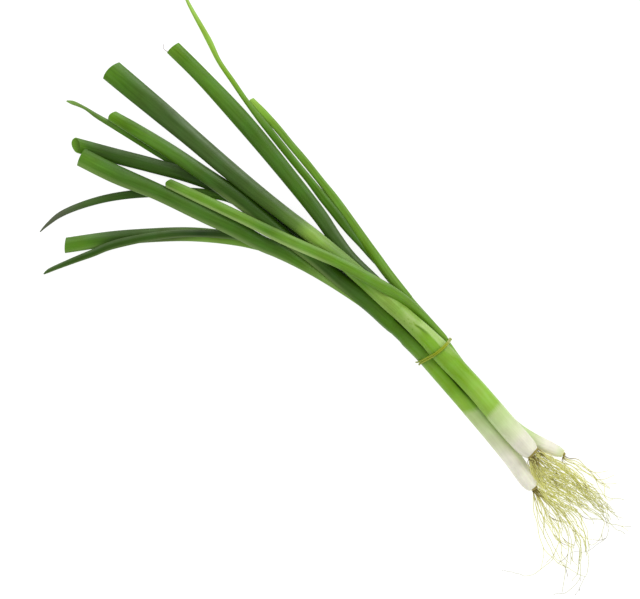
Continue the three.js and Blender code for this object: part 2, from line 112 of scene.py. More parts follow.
LAYER_LOW = 3.2  # the height that parts onion A's roots from B's
LAYER_RISE = 6.5  # and what is added to it at onion B's plate
LAYER_FALL = 9.0  # how fast that fades away from it
LAYER_GAP = 0.4  # between that height and the roots
ROOTS_C_TOP = 2.6  # onion C's roots stay below this

# ---- Colours, by name ----
COLOURS = {
    # night is the green darkened where a leaf lies under others: painted shade.
    "shadowed_green": "#1a3404", "pine": "#2e4e08", "slate": "#3a571c",
    "olive": "#44621e", "fern": "#406812", "sage": "#587a2e",
    "leaf": "#4e7a14", "grass": "#628e22", "dusty": "#739840",
    "meadow": "#84a846", "fresh": "#7aa82a", "lime": "#90ba44",
    "pale": "#b9cf8c", "cream": "#d6ddb6", "straw": "#d2d59e",
    # milk is the white made lighter for stalks that lie in shade, so it is painted light.
    "white": "#e2e0cb", "brightened_white": "#eeecd8", "bark": "#50583f",
    # The leaves' waxy grey-green also paints their highlight on the +Y side, the pale film's colour also
    # paints highlights along some leaves' edges, and shade is painted shade, also used for the dark slit
    # and specks on onion A's neck.
    "wax_and_highlight": "#97a48a", "film": "#b2cc80", "shade": "#1f3c04",
}

# ---- Stalks and leaves: [x, y, z, width, depth] along the middle line ----
# They are the model's stations, a few of them set closer to the real bunch. The first ones of each
# carry it on to where it is lost inside its neighbours.
SHANK_A = [
    [19.5, 29.6, 15.4, 11.1, 10.75], [28, 29.4, 15.6, 11.2, 10.8], [49, 28.2, 16.2, 12.9, 12.2],
    [59.5, 27, 16.4, 14, 13.3], [71.5, 25.5, 15.8, 13.8, 13], [82.5, 24.3, 15, 13.2, 12.6],
    [95, 22.7, 14.9, 13.2, 12.7], [107.5, 20.6, 15, 13.5, 12.9], [120, 18.4, 15.2, 13.6, 13.1],
    [131, 16.8, 15.5, 13.7, 13.5], [140, 15.6, 15.7, 13.2, 13.2], [145, 15, 15.6, 12, 12],
    [148, 14.8, 15.5, 9.6, 9.6],
]
SHANK_B = [
    [15.5, 21, 7.25, 11.4, 11.1], [24.5, 20.6, 7.2, 11.4, 11.2], [51.5, 18.7, 7.4, 11.6, 11.6],
    [72.5, 15.6, 6.7, 11.7, 11.7], [94, 12.2, 5.9, 11.7, 11.7], [114.5, 8.8, 5.5, 11.7, 11.7],
    [133, 5.4, 5.5, 11.8, 11.8], [143.5, 3.2, 5.7, 11.6, 11.6], [153, 0.6, 5.7, 11.3, 11.3],
    [159, -1, 5.6, 10.4, 10.4], [162.3, -1.6, 5.5, 8.8, 8.8], [164, -1.9, 5.5, 6.6, 6.6],
]
SHANK_C = [
    [14, 41.3, 5, 6.4, 6.1], [23.5, 39.2, 5, 6.2, 6.2], [49, 35, 5.2, 6.8, 6.8],
    [61, 32, 5.2, 7.2, 7.2], [72.5, 28.9, 4.5, 7.4, 7.4], [93, 24.7, 3.8, 7.5, 7.5],
    [109, 21.8, 3.8, 7.8, 7.8], [123, 20.4, 4.1, 8.2, 8.2], [134, 20.2, 4.4, 8.8, 8.8],
    [145, 21.7, 4.6, 9.2, 9.2], [154.5, 24.3, 4.5, 8.6, 8.6], [160.5, 26, 4.5, 7.4, 7.4],
    [164.5, 27.2, 4.4, 4.8, 4.8],
]
LEAF_A1 = [
    [26, 29.45, 15.6, 10, 9.6], [18, 29.7, 15.35, 11.1, 10.7], [4, 30.2, 14.8, 11, 10.6],
    [-14, 30.8, 14.2, 10.7, 10.6], [-28, 31.2, 13.9, 10.3, 10.2], [-51.5, 30.9, 13.7, 10.4, 9.4],
    [-73, 29.9, 13.5, 10.3, 8.8], [-95, 29.1, 13.3, 10.9, 8.2], [-124, 28.8, 11.8, 12, 7.6],
    [-150, 29.1, 9.9, 12.6, 7.2], [-175, 29.3, 8.3, 14, 6.9], [-204, 29.2, 6.6, 15, 6.4],
    [-223, 29.2, 5.6, 15.3, 5.8],
]
LEAF_A2 = [
    [22, 33, 13.5, 3, 3], [13.5, 34.5, 13, 5.2, 5], [-0.5, 35, 12.4, 6.5, 6],
    [-24.5, 36.3, 10.8, 8, 6], [-40, 39.6, 9.7, 9, 6.2], [-55.5, 43.9, 8.9, 9.9, 6.4],
    [-86, 50.4, 7.6, 10.7, 6.6], [-131, 58.7, 6.2, 11.8, 6.6], [-175, 64.4, 5, 10.2, 6],
    [-200.5, 66.5, 4.4, 10.2, 5.4],
]
LEAF_A3 = [
    [18, 30.2, 11.5, 3, 2.4], [11, 31, 8.4, 4.5, 3], [-8.5, 29.5, 6.6, 5.8, 3.6],
    [-24, 31.5, 5.6, 6.5, 3.8], [-53.5, 31, 5.3, 7.8, 4], [-80.5, 27.5, 5, 8.4, 4],
    [-104.5, 20.8, 4.5, 8.4, 3.8], [-136.5, 9.8, 4.2, 9.1, 4], [-161.5, -1.3, 3, 9.9, 4.3],
    [-186.5, -13.3, 2.2, 10.1, 4.2], [-211.5, -24.6, 2.1, 9.6, 4],
]
LEAF_A4 = [
    [20, 28.5, 11.6, 1.4, 1.2], [12, 27.6, 8.3, 2.2, 1.7], [6, 27.5, 5.2, 2.4, 1.8],
    [-14, 27, 2.8, 3, 1.9], [-39, 26, 1.4, 3.6, 2], [-64.5, 25, 1.1, 3.9, 2],
    [-87.5, 23.5, 1, 3.9, 1.9], [-108.5, 20.5, 1, 3.9, 1.9], [-129.5, 15.5, 1, 4.2, 1.9],
    [-146.5, 10.5, 1.1, 4.7, 2], [-161.5, 8, 1.3, 4.8, 2.4], [-191.5, 3.5, 1.3, 4.2, 2.4],
    [-209.5, 0.5, 1.2, 3.1, 2.2], [-218.5, -0.5, 1.2, 2.1, 2.2], [-226.5, -2.8, 0.9, 2.7, 1.6],
    [-230.5, -4.6, 0.5, 1, 0.8],
]
LEAF_B1 = [
    [28, 20.5, 7.2, 10.2, 10], [22, 20.7, 7.2, 11.4, 11.2], [6.5, 21.4, 7.4, 11.4, 10.8],
    [-15, 20.6, 8, 10.6, 9.6], [-42, 20.5, 9, 9.8, 8.6], [-62, 19.3, 9.8, 9.7, 8.4],
    [-84.5, 19.2, 10.3, 10.4, 8.4], [-107, 18.6, 10.4, 11.2, 8.2], [-130, 16.5, 9.8, 10.2, 7.8],
    [-159, 13.5, 8.2, 9.6, 6.8], [-185, 9.7, 6.8, 8.8, 6.2], [-203.5, 6.8, 6.1, 7.6, 5.4],
]
LEAF_B2 = [
    [3, 16.3, 9, 1, 1], [-8, 15.6, 9.2, 1.8, 2.4], [-20, 14.8, 9.2, 3.2, 4],
    [-33, 13.7, 9.5, 5, 5.4], [-46.5, 12.1, 9.8, 7.2, 6.4], [-60, 9.9, 10.3, 9.6, 6.8],
    [-73.5, 6, 10.6, 10.1, 6.8], [-94, 1.8, 10.3, 10.6, 6.8], [-114, -3.5, 9.6, 10.7, 6.8],
    [-146.5, -11.7, 8, 10.8, 6.6], [-176, -20.7, 7.3, 12.2, 6], [-200, -26.5, 7.2, 12.2, 5.6],
]
LEAF_B3 = [
    [14, 20.8, 3.2, 2.4, 1.6], [5, 20.4, 1.9, 3, 1.8], [-4, 20, 1, 3.2, 1.8],
    [-30, 19.5, 1.1, 4.8, 2], [-56.5, 18, 1.2, 5.6, 2.2], [-85.5, 17, 1.2, 6.4, 2.2],
    [-107.5, 15.4, 1.2, 5.8, 2.2], [-130.5, 1.5, 1.3, 6.5, 2.4], [-159, -24, 1.4, 5.5, 2.6],
    [-175, -43.5, 1.4, 4.9, 2.6], [-186, -63.5, 1.2, 3.9, 2.2], [-188.5, -75, 0.8, 2.1, 1.4],
    [-189, -81, 0.5, 0.7, 0.7],
]
LEAF_B4 = [
    [6, 18.5, 4, 1.6, 1.2], [-4, 17.2, 2.4, 2, 1.5], [-14, 16.1, 1.6, 2.2, 1.6],
    [-28, 14.8, 1.7, 3.6, 2.2], [-40, 13.3, 1.8, 4.8, 2.8], [-63, 8.3, 1.9, 6, 3.6],
    [-79.5, 1.7, 2.1, 7.5, 4], [-90, -3.5, 2.2, 8.8, 4.2], [-112, -18.5, 2.2, 9.1, 4.2],
    [-132.5, -36.5, 2.2, 9.1, 4.2], [-150, -54, 2.2, 9.8, 4.2], [-171.5, -78, 2, 9.9, 3.8],
]
LEAF_B5 = [
    [4, 17.6, 5.2, 1.2, 1.2], [-12, 16.2, 4.4, 1.6, 1.6], [-28, 15, 4.5, 3.2, 2],
    [-44, 13, 4.8, 4, 2.2], [-65, 9, 5.3, 4.4, 2.3], [-78, 4.8, 5.6, 4.9, 2.4],
    [-89.5, -1, 5.8, 5.5, 2.4], [-113, -18.5, 6, 4.8, 2.4], [-127.5, -32.5, 5.9, 5.2, 2.4],
    [-143.5, -52, 5.6, 5.7, 2.4], [-149.5, -61, 5, 5.3, 2.4], [-153.5, -69, 3.6, 4.9, 2.2],
    [-160.5, -81.5, 1.6, 4, 2], [-168.5, -97, 0.8, 2.6, 1.4], [-169.5, -100.5, 0.5, 0.8, 0.8],
]
LEAF_C1 = [
    [68, 31.4, 6.2, 1.6, 1.2], [60.5, 33.8, 7.8, 3.1, 2.2], [58, 34.9, 8.6, 4, 2.8],
    [46.5, 36.4, 10.4, 4.8, 3.8], [35.5, 37.3, 12.6, 5.3, 4.2], [23.5, 37.5, 16, 6, 4.2],
    [14, 36.7, 19, 6.8, 4.2], [4.5, 35.1, 21.6, 7.2, 4.4], [-9, 32.6, 22.9, 7, 4.4],
    [-26.5, 28.6, 22.6, 6.8, 4.4], [-43.5, 23.8, 21.4, 7.4, 4.4], [-65, 17.6, 18.4, 7.7, 4.4],
    [-88.5, 11.8, 15.6, 7, 4.4], [-118, 4.2, 12.6, 7.1, 4.4], [-147, -3.4, 10.3, 6.4, 4],
]
LEAF_C2 = [
    [23, 39.5, 5, 6.2, 6.2], [1.5, 43.8, 4.9, 6.7, 6], [-10, 46.7, 4.6, 6.7, 5.6],
    [-21.5, 49.7, 4.2, 6.4, 5], [-32, 52.6, 3.6, 6, 4.4], [-42, 55.3, 3, 5.8, 3.8],
    [-56, 58.7, 2.4, 5.8, 3.4], [-71.5, 62.1, 1.8, 4.9, 3], [-87, 65.2, 1.5, 5, 2.8],
    [-101, 67.6, 1.5, 4.8, 2.8], [-115.5, 70.3, 1.4, 4.9, 2.6], [-127, 71.6, 1.35, 5.4, 2.5],
    [-139.5, 73.2, 1.3, 4.2, 2.4],
]
LEAF_C3 = [
    [2, 42.2, 4.8, 0.8, 0.8], [-12, 43.9, 4.4, 1.4, 1.6], [-23.5, 46.4, 5, 3.2, 2.6],
    [-34, 48.4, 5, 4.8, 3], [-46, 51.15, 4.6, 6.1, 3.4], [-61.5, 54.3, 4.2, 6, 3.4],
    [-77, 57.6, 3.8, 5, 3.2], [-92.5, 60.5, 3.6, 4.9, 3], [-123, 66.7, 3.4, 4.8, 2.8],
    [-139.5, 70.2, 3.3, 3.5, 2.8], [-155, 74.5, 2.9, 3.4, 2.8], [-171, 79, 2.3, 3.2, 2.6],
    [-184, 84.8, 1.9, 3.8, 2.6], [-191, 87.6, 1.6, 3.5, 2.4], [-212, 95.8, 0.9, 2.1, 1.6],
    [-219.5, 100, 0.5, 0.7, 0.7],
]


# ---- Curves ----
def catmull(points, t):
    """Points at t, from 0 to 1, on the centripetal curve through the given ones."""
    points = np.asarray(points, float)
    padded = np.vstack([2 * points[0] - points[1], points, 2 * points[-1] - points[-2]])
    place = np.clip(t, 0, 1) * (len(points) - 1)
    first = np.minimum(place.astype(int), len(points) - 2)
    share = (place - first)[:, None]
    a, b, c, d = (padded[first + k] for k in range(4))
    ab, bc, cd = (
        np.maximum(np.linalg.norm(q - p, axis=1, keepdims=True), 1e-6) ** 0.5
        for p, q in ((a, b), (b, c), (c, d))
    )
    leave = ((b - a) / ab - (c - a) / (ab + bc) + (c - b) / bc) * bc
    arrive = ((c - b) / bc - (d - b) / (bc + cd) + (d - c) / cd) * bc
    s2, s3 = share**2, share**3
    return (
        (2 * s3 - 3 * s2 + 1) * b
        + (s3 - 2 * s2 + share) * leave
        + (3 * s2 - 2 * s3) * c
        + (s3 - s2) * arrive
    )


def reach_of(line):
    """How far along a line each of its points lies."""
    steps = np.linalg.norm(np.diff(line, axis=0), axis=1)
    return np.concatenate([[0], np.cumsum(steps)])


def read_at(s, reach, table):
    return np.stack([np.interp(s, reach, column) for column in table.T], 1)


class Spine:
    """The middle line of a stalk or leaf, with its width and depth, by distance from its base."""

    def __init__(self, stations):
        stations = np.asarray(stations, float)
        t = np.linspace(0, 1, SPINE_POINTS * len(stations))
        self.line = catmull(stations[:, :3], t)
        self.size = catmull(stations[:, 3:], t)
        self.reach = reach_of(self.line)
        self.length = self.reach[-1]

    def at(self, s):
        """Middle, direction and (width, depth) at each distance s."""
        s = np.atleast_1d(s).astype(float)
        ahead = read_at(np.minimum(s + HEADING_SPAN, self.length), self.reach, self.line)
        behind = read_at(np.maximum(s - HEADING_SPAN, 0), self.reach, self.line)
        along = ahead - behind
        along /= np.linalg.norm(along, axis=1, keepdims=True)
        return read_at(s, self.reach, self.line), along, read_at(s, self.reach, self.size)

    def x_at(self, s):
        return np.interp(s, self.reach, self.line[:, 0])

    def distance_to(self, x):
        """The distance from the base at which the middle line passes x."""
        return self.reach[np.argmin(np.abs(self.line[:, 0] - x))]

    def shares(self, stops):
        """Stops, which are places along X with their values, as shares of the length."""
        return [(self.distance_to(x) / self.length, value) for x, value in stops]


def smooth(low, high, value):
    share = np.clip((value - low) / (high - low), 0, 1)
    return share * share * (3 - 2 * share)


def window(value, rise, risen, fall, fallen):
    """0, then 1 from `risen` to `fall`, then 0 again, with smooth steps between."""
    return smooth(rise, risen, value) * (1 - smooth(fall, fallen, value))


def bump_at(value, middle, half_width):
    return np.exp(-(((value - middle) / half_width) ** 2))


# ---- Meshes ----
def placed(name, data):
    """A new object of the scene."""
    made = bpy.data.objects.new(name, data)
    bpy.context.scene.collection.objects.link(made)
    return made


class Skin:
    """Rings of points joined into skins, with what the materials read at each point: `grain`, the
    side, height and distance along a straightened piece; `mark`, 1 where a leaf is seen from
    inside; and `film`, above 0 where a pale film covers it and where a highlight is painted along
    a leaf's edge, and below 0 where shade is painted and on the dark slit and specks of onion A's
    neck."""

    def __init__(self, spine=None):
        self.spine = spine
        self.faces = []
        self.kept = []
        self.count = 0

    def add(self, rings, grain, mark=0.0, film=0.0, closed=False):
        """One strip of rings: a closed strip joins its last ring to its first, any other has a fan
        over each end."""
        rows, sides = rings.shape[:2]
        grain = np.broadcast_to(grain, rings.shape)
        mark = np.broadcast_to(mark, (rows, sides))
        film = np.broadcast_to(film, (rows, sides))
        index = self.count + np.arange(rows * sides).reshape(rows, sides)
        if closed:
            index = np.vstack([index, index[:1]])
        after = np.roll(index, -1, 1)
        quads = np.stack([index[:-1], after[:-1], after[1:], index[1:]], 2)
        self.faces += quads.reshape(-1, 4).tolist()
        self._keep(rings.reshape(-1, 3), grain.reshape(-1, 3), mark.ravel(), film.ravel())
        if closed:
            return
        for row in (0, -1):
            hub = self.count
            self._keep(*(part[row].mean(0, keepdims=True) for part in (rings, grain, mark, film)))
            ring = index[row].tolist()
            self.faces += [[a, b, hub] for a, b in zip(ring, ring[1:] + ring[:1])]

    def _keep(self, points, *marks):
        self.kept.append((points, *marks))
        self.count += len(points)

    def piece(self, name, material, slot, node):
        """The skins as one shaded object, which stands for a node of the model if one is given."""
        points, grains, marks, films = (np.concatenate(part) for part in zip(*self.kept))
        mesh = bpy.data.meshes.new(name)
        mesh.from_pydata((points * MM).tolist(), [], self.faces)
        grain = mesh.attributes.new("grain", "FLOAT_VECTOR", "POINT")
        grain.data.foreach_set("vector", grains.astype(np.float32).ravel())
        for kind, values in (("mark", marks), ("film", films)):
            made = mesh.attributes.new(kind, "FLOAT", "POINT")
            made.data.foreach_set("value", values.astype(np.float32))
        tidy = bmesh.new()
        tidy.from_mesh(mesh)
        bmesh.ops.recalc_face_normals(tidy, faces=tidy.faces)
        tidy.to_mesh(mesh)
        tidy.free()
        mesh.shade_smooth()
        mesh.materials.append(material)
        made = placed(name, mesh)
        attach(made, "root")
        if node:
            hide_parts(node)


def directions(along):
    """Across, always towards +Y, and up, for each direction of a middle line."""
    across = np.stack([-along[:, 1], along[:, 0], 0 * along[:, 0]], 1)
    across *= np.where(across[:, 1:2] < 0, -1, 1)
    across /= np.linalg.norm(across, axis=1, keepdims=True)
    up = np.cross(across, along)
    up *= np.where(up[:, 2:3] < 0, -1, 1)
    return across, up


FLUTES = (2, 3, 4, 5, 7)  # how many times round each wave of a cross-section goes
FLUTE_DRIFT = 0.012  # how far a wave may turn in a millimetre, in radians


def flutes(seed, depth):
    """A gentle irregular cross-section: the share that the radius gains at an angle and distance.
    It is still round where the piece leaves its neck."""
    draw = random.Random(seed)
    waves = [
        (k, depth / k, draw.uniform(0, TURN), draw.uniform(-1, 1) * FLUTE_DRIFT) for k in FLUTES
    ]

    def shape(angle, s):
        full = sum(a * np.cos(k * angle + p + drift * s) for k, a, p, drift in waves)
        return full * smooth(ROUND_BASE, 3 * ROUND_BASE, s)

    return shape


def rings_of(spine, s, sides, shape, grow=0.0, relief=None, floor=0.0):
    """Rings of an elliptical tube at the distances s, with their grain and directions. `shape`
    scales the radius, and `grow` and `relief` add millimetres to it."""
    middle, along, size = spine.at(s)
    across, up = directions(along)
    turn, place = np.meshgrid((np.arange(sides) + 0.5) / sides * TURN, s)
    side, height = np.cos(turn), np.sin(turn)
    scale = 1 + shape(turn, place)
    extra = relief(side, height, spine.x_at(place)) if relief else 0
    wide = side * (np.maximum(size[:, :1] / 2 + grow, THINNEST) * scale + extra)
    high = height * (np.maximum(size[:, 1:] / 2 + grow, THINNEST) * scale + extra)
    rings = middle[:, None] + across[:, None] * wide[..., None] + up[:, None] * high[..., None]
    rings[..., 2] = np.maximum(rings[..., 2], floor)
    return rings, np.stack([side, height, place], 2), along


def spots(length, step):
    """Distances along a piece, closer together near its two ends."""
    even = np.linspace(0, length, max(6, round(length / step)) + 1)
    near = np.array(END_RINGS)
    return np.unique(np.concatenate([even, near, length - near]))


def set_back(rings, grain, along, length, cut):
    """Shapes a cut end: every point near it moves back along the leaf. `slant` moves the +Y side
    back, or the -Y side where it is negative, `slope` the top and `bow` both sides."""
    side, height = grain[..., 0], grain[..., 1]
    slant = cut.get("slant", 0)
    back = (
        abs(slant) * (1 + math.copysign(1, slant) * side) / 2
        + cut.get("slope", 0) * (1 + height) / 2
        + cut.get("bow", 0) * side**2
    )
    weight = smooth(length - CUT_REACH, length, grain[..., 2])
    return rings - along[:, None] * (back * weight)[..., None]


EDGE = (0.35, 0.95)  # across a leaf, from where its edge begins to where it is fully edge
EDGE_FADE = 0.15  # share of its length over which the painted light or shade on an edge comes or goes
UNPAINTED_EDGES = (0, 0, 0, 1)
RIM_MARK = 0.6  # a cut rim is coloured mostly as the inside
RIM_FILM = 0.5  # and half covered by the pale film


def edge_light_and_shade(grain, edges):
    """Painted highlight and shade on the two edges of a leaf: how pale, as a painted highlight, or
    dark below 0, as painted shade, the -Y and the +Y edge are, and the shares of its length
    between which they are."""
    left, right, start, stop = edges
    side, place = grain[..., 0], grain[..., 2] / grain[..., 2].max()
    film = left * smooth(*EDGE, -side) + right * smooth(*EDGE, side)
    return film * window(place, start, start + EDGE_FADE, stop, stop + EDGE_FADE)


def cut_leaf(stations, seed, solid, cut, depth=0.03, edges=UNPAINTED_EDGES):
    """A hollow leaf, open where it was cut, solid for the first share of its length."""
    spine = Spine(stations)
    shape = flutes(seed, depth)
    length = spine.length
    outer, grain, along = rings_of(spine, spots(length, LEAF_STEP), LEAF_SIDES, shape)
    outer = set_back(outer, grain, along, length, cut)
    inside = spots(length * (1 - solid), LEAF_STEP) + length * solid
    inner, inner_grain, inner_along = rings_of(
        spine, inside, LEAF_SIDES, shape, grow=-LEAF_WALL, floor=LEAF_WALL
    )
    inner = set_back(inner, inner_grain, inner_along, length, cut)
    rim = (outer[-1:] + inner[-1:]) / 2 + along[-1] * RIM_BULGE
    mark = np.concatenate([np.zeros(len(outer)), [RIM_MARK], np.ones(len(inner))])
    pale_rim = np.full((1, LEAF_SIDES), RIM_FILM)
    film = np.vstack([edge_light_and_shade(grain, edges), pale_rim, np.zeros(inner.shape[:2])])
    skin = Skin(spine)
    skin.add(
        np.concatenate([outer, rim, inner[::-1]]),
        np.concatenate([grain, grain[-1:], inner_grain[::-1]]),
        mark[:, None],
        film,
    )
    return skin


def whole_leaf(stations, seed, depth=0.04, edges=UNPAINTED_EDGES):
    """A thin solid leaf that runs out in its own tip."""
    spine = Spine(stations)
    s = spots(spine.length, LEAF_STEP)
    rings, grain, _ = rings_of(spine, s, LEAF_SIDES, flutes(seed, depth))
    skin = Skin(spine)
    skin.add(rings, grain, film=edge_light_and_shade(grain, edges))
    return skin


SHANK_FLUTES = 0.018  # how far from round a shank is, as a share of its radius


def shank(stations, seed, relief, film):
    """A stalk of wrapped sheaths from its neck to its root end."""
    spine = Spine(stations)
    s = spots(spine.length, SHANK_STEP)
    rings, grain, _ = rings_of(spine, s, SHANK_SIDES, flutes(seed, SHANK_FLUTES), relief=relief)
    side, height, place = np.moveaxis(grain, 2, 0)
    skin = Skin(spine)
    skin.add(rings, grain, film=film(side, height, spine.x_at(place)) if film else 0.0)
    return skin


# ---- Materials ----
class Graph:
    """A material's node tree, built up by short calls."""

    def __init__(self, name):
        self.material = bpy.data.materials.new(name)
        self.material.use_nodes = True
        self.tree = self.material.node_tree
        self.surface = self.tree.nodes["Principled BSDF"]

    def add(self, kind, *inputs, **settings):
        """A node with its settings and its inputs in order: a socket is linked, a value is set."""
        node = self.tree.nodes.new(kind)
        for key, value in settings.items():
            setattr(node, key, value)
        for socket, value in zip([i for i in node.inputs if i.enabled], inputs):
            self.feed(socket, value)
        return node

    def feed(self, socket, value):
        if isinstance(value, bpy.types.NodeSocket):
            self.tree.links.new(value, socket)
        elif value is not None:
            socket.default_value = value

    def fill(self, node, **inputs):
        """Feeds inputs of a node by their names, with _ for a space."""
        for name, value in inputs.items():
            self.feed(node.inputs[name.replace("_", " ")], value)
        return node

    def read(self, name):
        return self.add("ShaderNodeAttribute", attribute_name=name)

    def math(self, operation, *inputs):
        return self.add("ShaderNodeMath", *inputs, operation=operation).outputs[0]

    def stretch(self, vector, scale):
        return self.add("ShaderNodeVectorMath", vector, scale, operation="MULTIPLY").outputs[0]

    def noise(self, vector, scale, detail=2.0, roughness=0.55):
        node = self.add("ShaderNodeTexNoise")
        self.fill(node, Vector=vector, Scale=scale, Detail=detail, Roughness=roughness)
        return node.outputs["Fac"]

    def span(self, value, from_low, from_high, low, high):
        """A value carried from one span to another, held inside it."""
        return self.add("ShaderNodeMapRange", value, from_low, from_high, low, high).outputs[0]

    def swing(self, noise, low, high):
        """A noise carried from the span that it mostly keeps to, to another."""
        return self.span(noise, 0.3, 0.7, low, high)

    def blend(self, share, a, b):
        return self.add("ShaderNodeMix", share, a, b, data_type="RGBA").outputs[2]

    def ramp(self, share, stops):
        node = self.add("ShaderNodeValToRGB", share)
        elements = node.color_ramp.elements
        while len(elements) < len(stops):
            elements.new(1.0)
        for element, (place, colour) in zip(elements, stops):
            element.position = place
            element.color = colour
        return node.outputs[0]

    def tone(self, colour, hue, saturation, value):
        node = self.add("ShaderNodeHueSaturation")
        return self.fill(node, Hue=hue, Saturation=saturation, Value=value, Color=colour).outputs[0]

    def finish(self, colour, roughness, bump_height, bump_depth, **constants):
        bump = self.fill(self.add("ShaderNodeBump"), Distance=bump_depth, Height=bump_height)
        self.fill(self.surface, Base_Color=colour, Roughness=roughness, Normal=bump.outputs[0])
        self.fill(self.surface, **constants)
        return self.material


def rgb(code):
    """A linear colour from a screen colour such as '#7ca33f', or from a colour's name."""
    code = COLOURS.get(code, code)
    parts = [int(code[k : k + 2], 16) / 255 for k in (1, 3, 5)]
    linear = [p / 12.92 if p <= 0.04045 else ((p + 0.055) / 1.055) ** 2.4 for p in parts]
    return (*linear, 1.0)


# A skin's veins, streaks and blotches: how short each is for its width, and the scale, detail and
# roughness of its noise.
SKIN_MARKS = ((0.03, 1 / VEIN_GAP, 3.0, 0.6), (0.08, 0.33), (1.0, 0.11))
SKIN_BUMP = 0.00014  # in metres, as other bumps


def plant_skin(
    name, spine, stops, inside, bloom_and_highlight, fray=0.6, slant=0.0, gloss=0.4, flesh=0.0, streaky=1.0
):
    """A leaf's or sheath's skin: colours that change along it, fine lengthwise veins, broader
    streaks, and a waxy grey-green on its +Y side that is both the waxy coat and a painted
    highlight where the key lamp's highlight falls. A stop is a colour's name with the place along X
    where the skin has it, or the two places between which it does. The strength of that waxy coat
    and painted highlight is a number, or stops of a place and a strength. Where `mark` is 1 the
    skin has the colour `inside`."""
    g = Graph(name)
    grain = g.read("grain").outputs["Vector"]
    parts = g.add("ShaderNodeSeparateXYZ", grain)
    side, place = parts.outputs[0], parts.outputs[2]
    radius = float(spine.size[:, 0].mean() / 2)
    veins, streaks, blotches = (
        g.noise(g.stretch(grain, (radius, radius, along)), *kind) for along, *kind in SKIN_MARKS
    )
    frayed = g.math("MULTIPLY_ADD", g.math("SUBTRACT", veins, 0.5), fray * 10, place)
    shifted = g.math("MULTIPLY_ADD", side, -slant, frayed)
    colours = [(x, rgb(colour)) for colour, *places in stops for x in places]
    base = g.ramp(g.math("DIVIDE", shifted, spine.length), spine.shares(colours))
    fine = g.swing(veins, -0.13 * streaky, 0.13 * streaky)
    broad = g.swing(streaks, -0.15 * streaky, 0.15 * streaky)
    light = g.math("ADD", g.math("ADD", fine, broad), g.swing(blotches, 0.93, 1.07))
    tone = g.tone(base, g.swing(blotches, 0.494, 0.506), g.swing(streaks, 1.05, 0.95), light)
    # The +Y side takes the waxy grey-green: the waxy coat, and a painted highlight where the key lamp's
    # highlight falls.
    key_light_side = g.span(side, 0.15, 0.95, 0, 1)
    streaked = g.span(streaks, 0.38, 0.7, 0.45, 1)
    patchy = g.math("MULTIPLY", streaked, g.span(blotches, 0.3, 0.6, 0.6, 1))
    if not isinstance(bloom_and_highlight, list):
        bloom_and_highlight = [(spine.x_at(10), 0.2 * bloom_and_highlight), (spine.x_at(50), bloom_and_highlight)]
    strengths = [(x, (s, s, s, 1)) for x, s in bloom_and_highlight]
    bloom_and_highlight_along = g.ramp(g.math("DIVIDE", place, spine.length), spine.shares(strengths))
    wax_and_highlight = g.math("MULTIPLY", g.math("MULTIPLY", key_light_side, patchy), bloom_and_highlight_along)
    waxed_and_highlit = g.blend(wax_and_highlight, tone, rgb("wax_and_highlight"))
    film = g.read("film").outputs["Fac"]
    filmed = g.blend(g.span(film, 0, 1, 0, 1), waxed_and_highlit, rgb("film"))
    shaded = g.blend(g.span(film, -1, 0, 1, 0), filmed, rgb("shade"))
    return g.finish(
        g.blend(g.read("mark").outputs["Fac"], shaded, rgb(inside)),
        g.swing(veins, gloss - 0.05, gloss + 0.08),
        g.math("MULTIPLY_ADD", streaks, 0.8, veins),
        SKIN_BUMP,
        Specular_IOR_Level=0.22,
        Subsurface_Weight=flesh,
        Subsurface_Radius=(0.0016, 0.0022, 0.0009),
        Subsurface_Scale=1.0,
    )


def leaf(name, node, skin, slot, stops, inside="sage", bloom_and_highlight=0.3):
    material = plant_skin(name + "_skin", skin.spine, stops, inside, bloom_and_highlight)
    skin.piece(name, material, slot, node)


# ---- The onions' leaves ----
# Where a leaf runs under others, its darkest greens are painted shade.
leaf(
    "leaf_a_large", "onion_a_leaf_1",
    cut_leaf(LEAF_A1, 11, 0.15, {"bow": 1.7, "slant": 1.3}), "leaf_dark",
    [("meadow", 27, 10), ("grass", -5), ("dusty", -24, -34), ("meadow", -46, -54), ("sage", -64),
     ("olive", -78), ("slate", -110, -175), ("fern", -206), ("leaf", -223)],
    bloom_and_highlight=[(20, 0.08), (-20, 0.4), (-60, 0.5), (-170, 0.5), (-190, 0.3), (-223, 0.2)],
)
leaf(
    "leaf_a_wide", "onion_a_leaf_2",
    cut_leaf(LEAF_A2, 12, 0.2, {"bow": 0.5, "slant": 0.9}), "leaf_dark",
    [("pine", 20), ("slate", -20, -45), ("fern", -75, -130), ("leaf", -160, -188), ("grass", -200)],
    bloom_and_highlight=[(20, 0.1), (-20, 0.2), (-70, 0.15), (-95, 0.03), (-200, 0.03)],
)
# Its darkest green, where it lies under other leaves, is painted shade.
leaf(
    "leaf_a_low", "onion_a_leaf_3",
    cut_leaf(LEAF_A3, 13, 0.15, {"slope": 6, "slant": -3.3, "bow": 0.6}), "leaf_dark",
    [("shadowed_green", 14, -110), ("pine", -150, -190), ("fern", -204), ("leaf", -211)],
    inside="grass",
)
leaf(
    "leaf_a_thin", "onion_a_leaf_4", whole_leaf(LEAF_A4, 14), "leaf_mid",
    [("shadowed_green", 18), ("pine", -40), ("leaf", -56), ("pine", -76, -100), ("fern", -128, -165),
     ("leaf", -192), ("sage", -212), ("dusty", -230)],
)
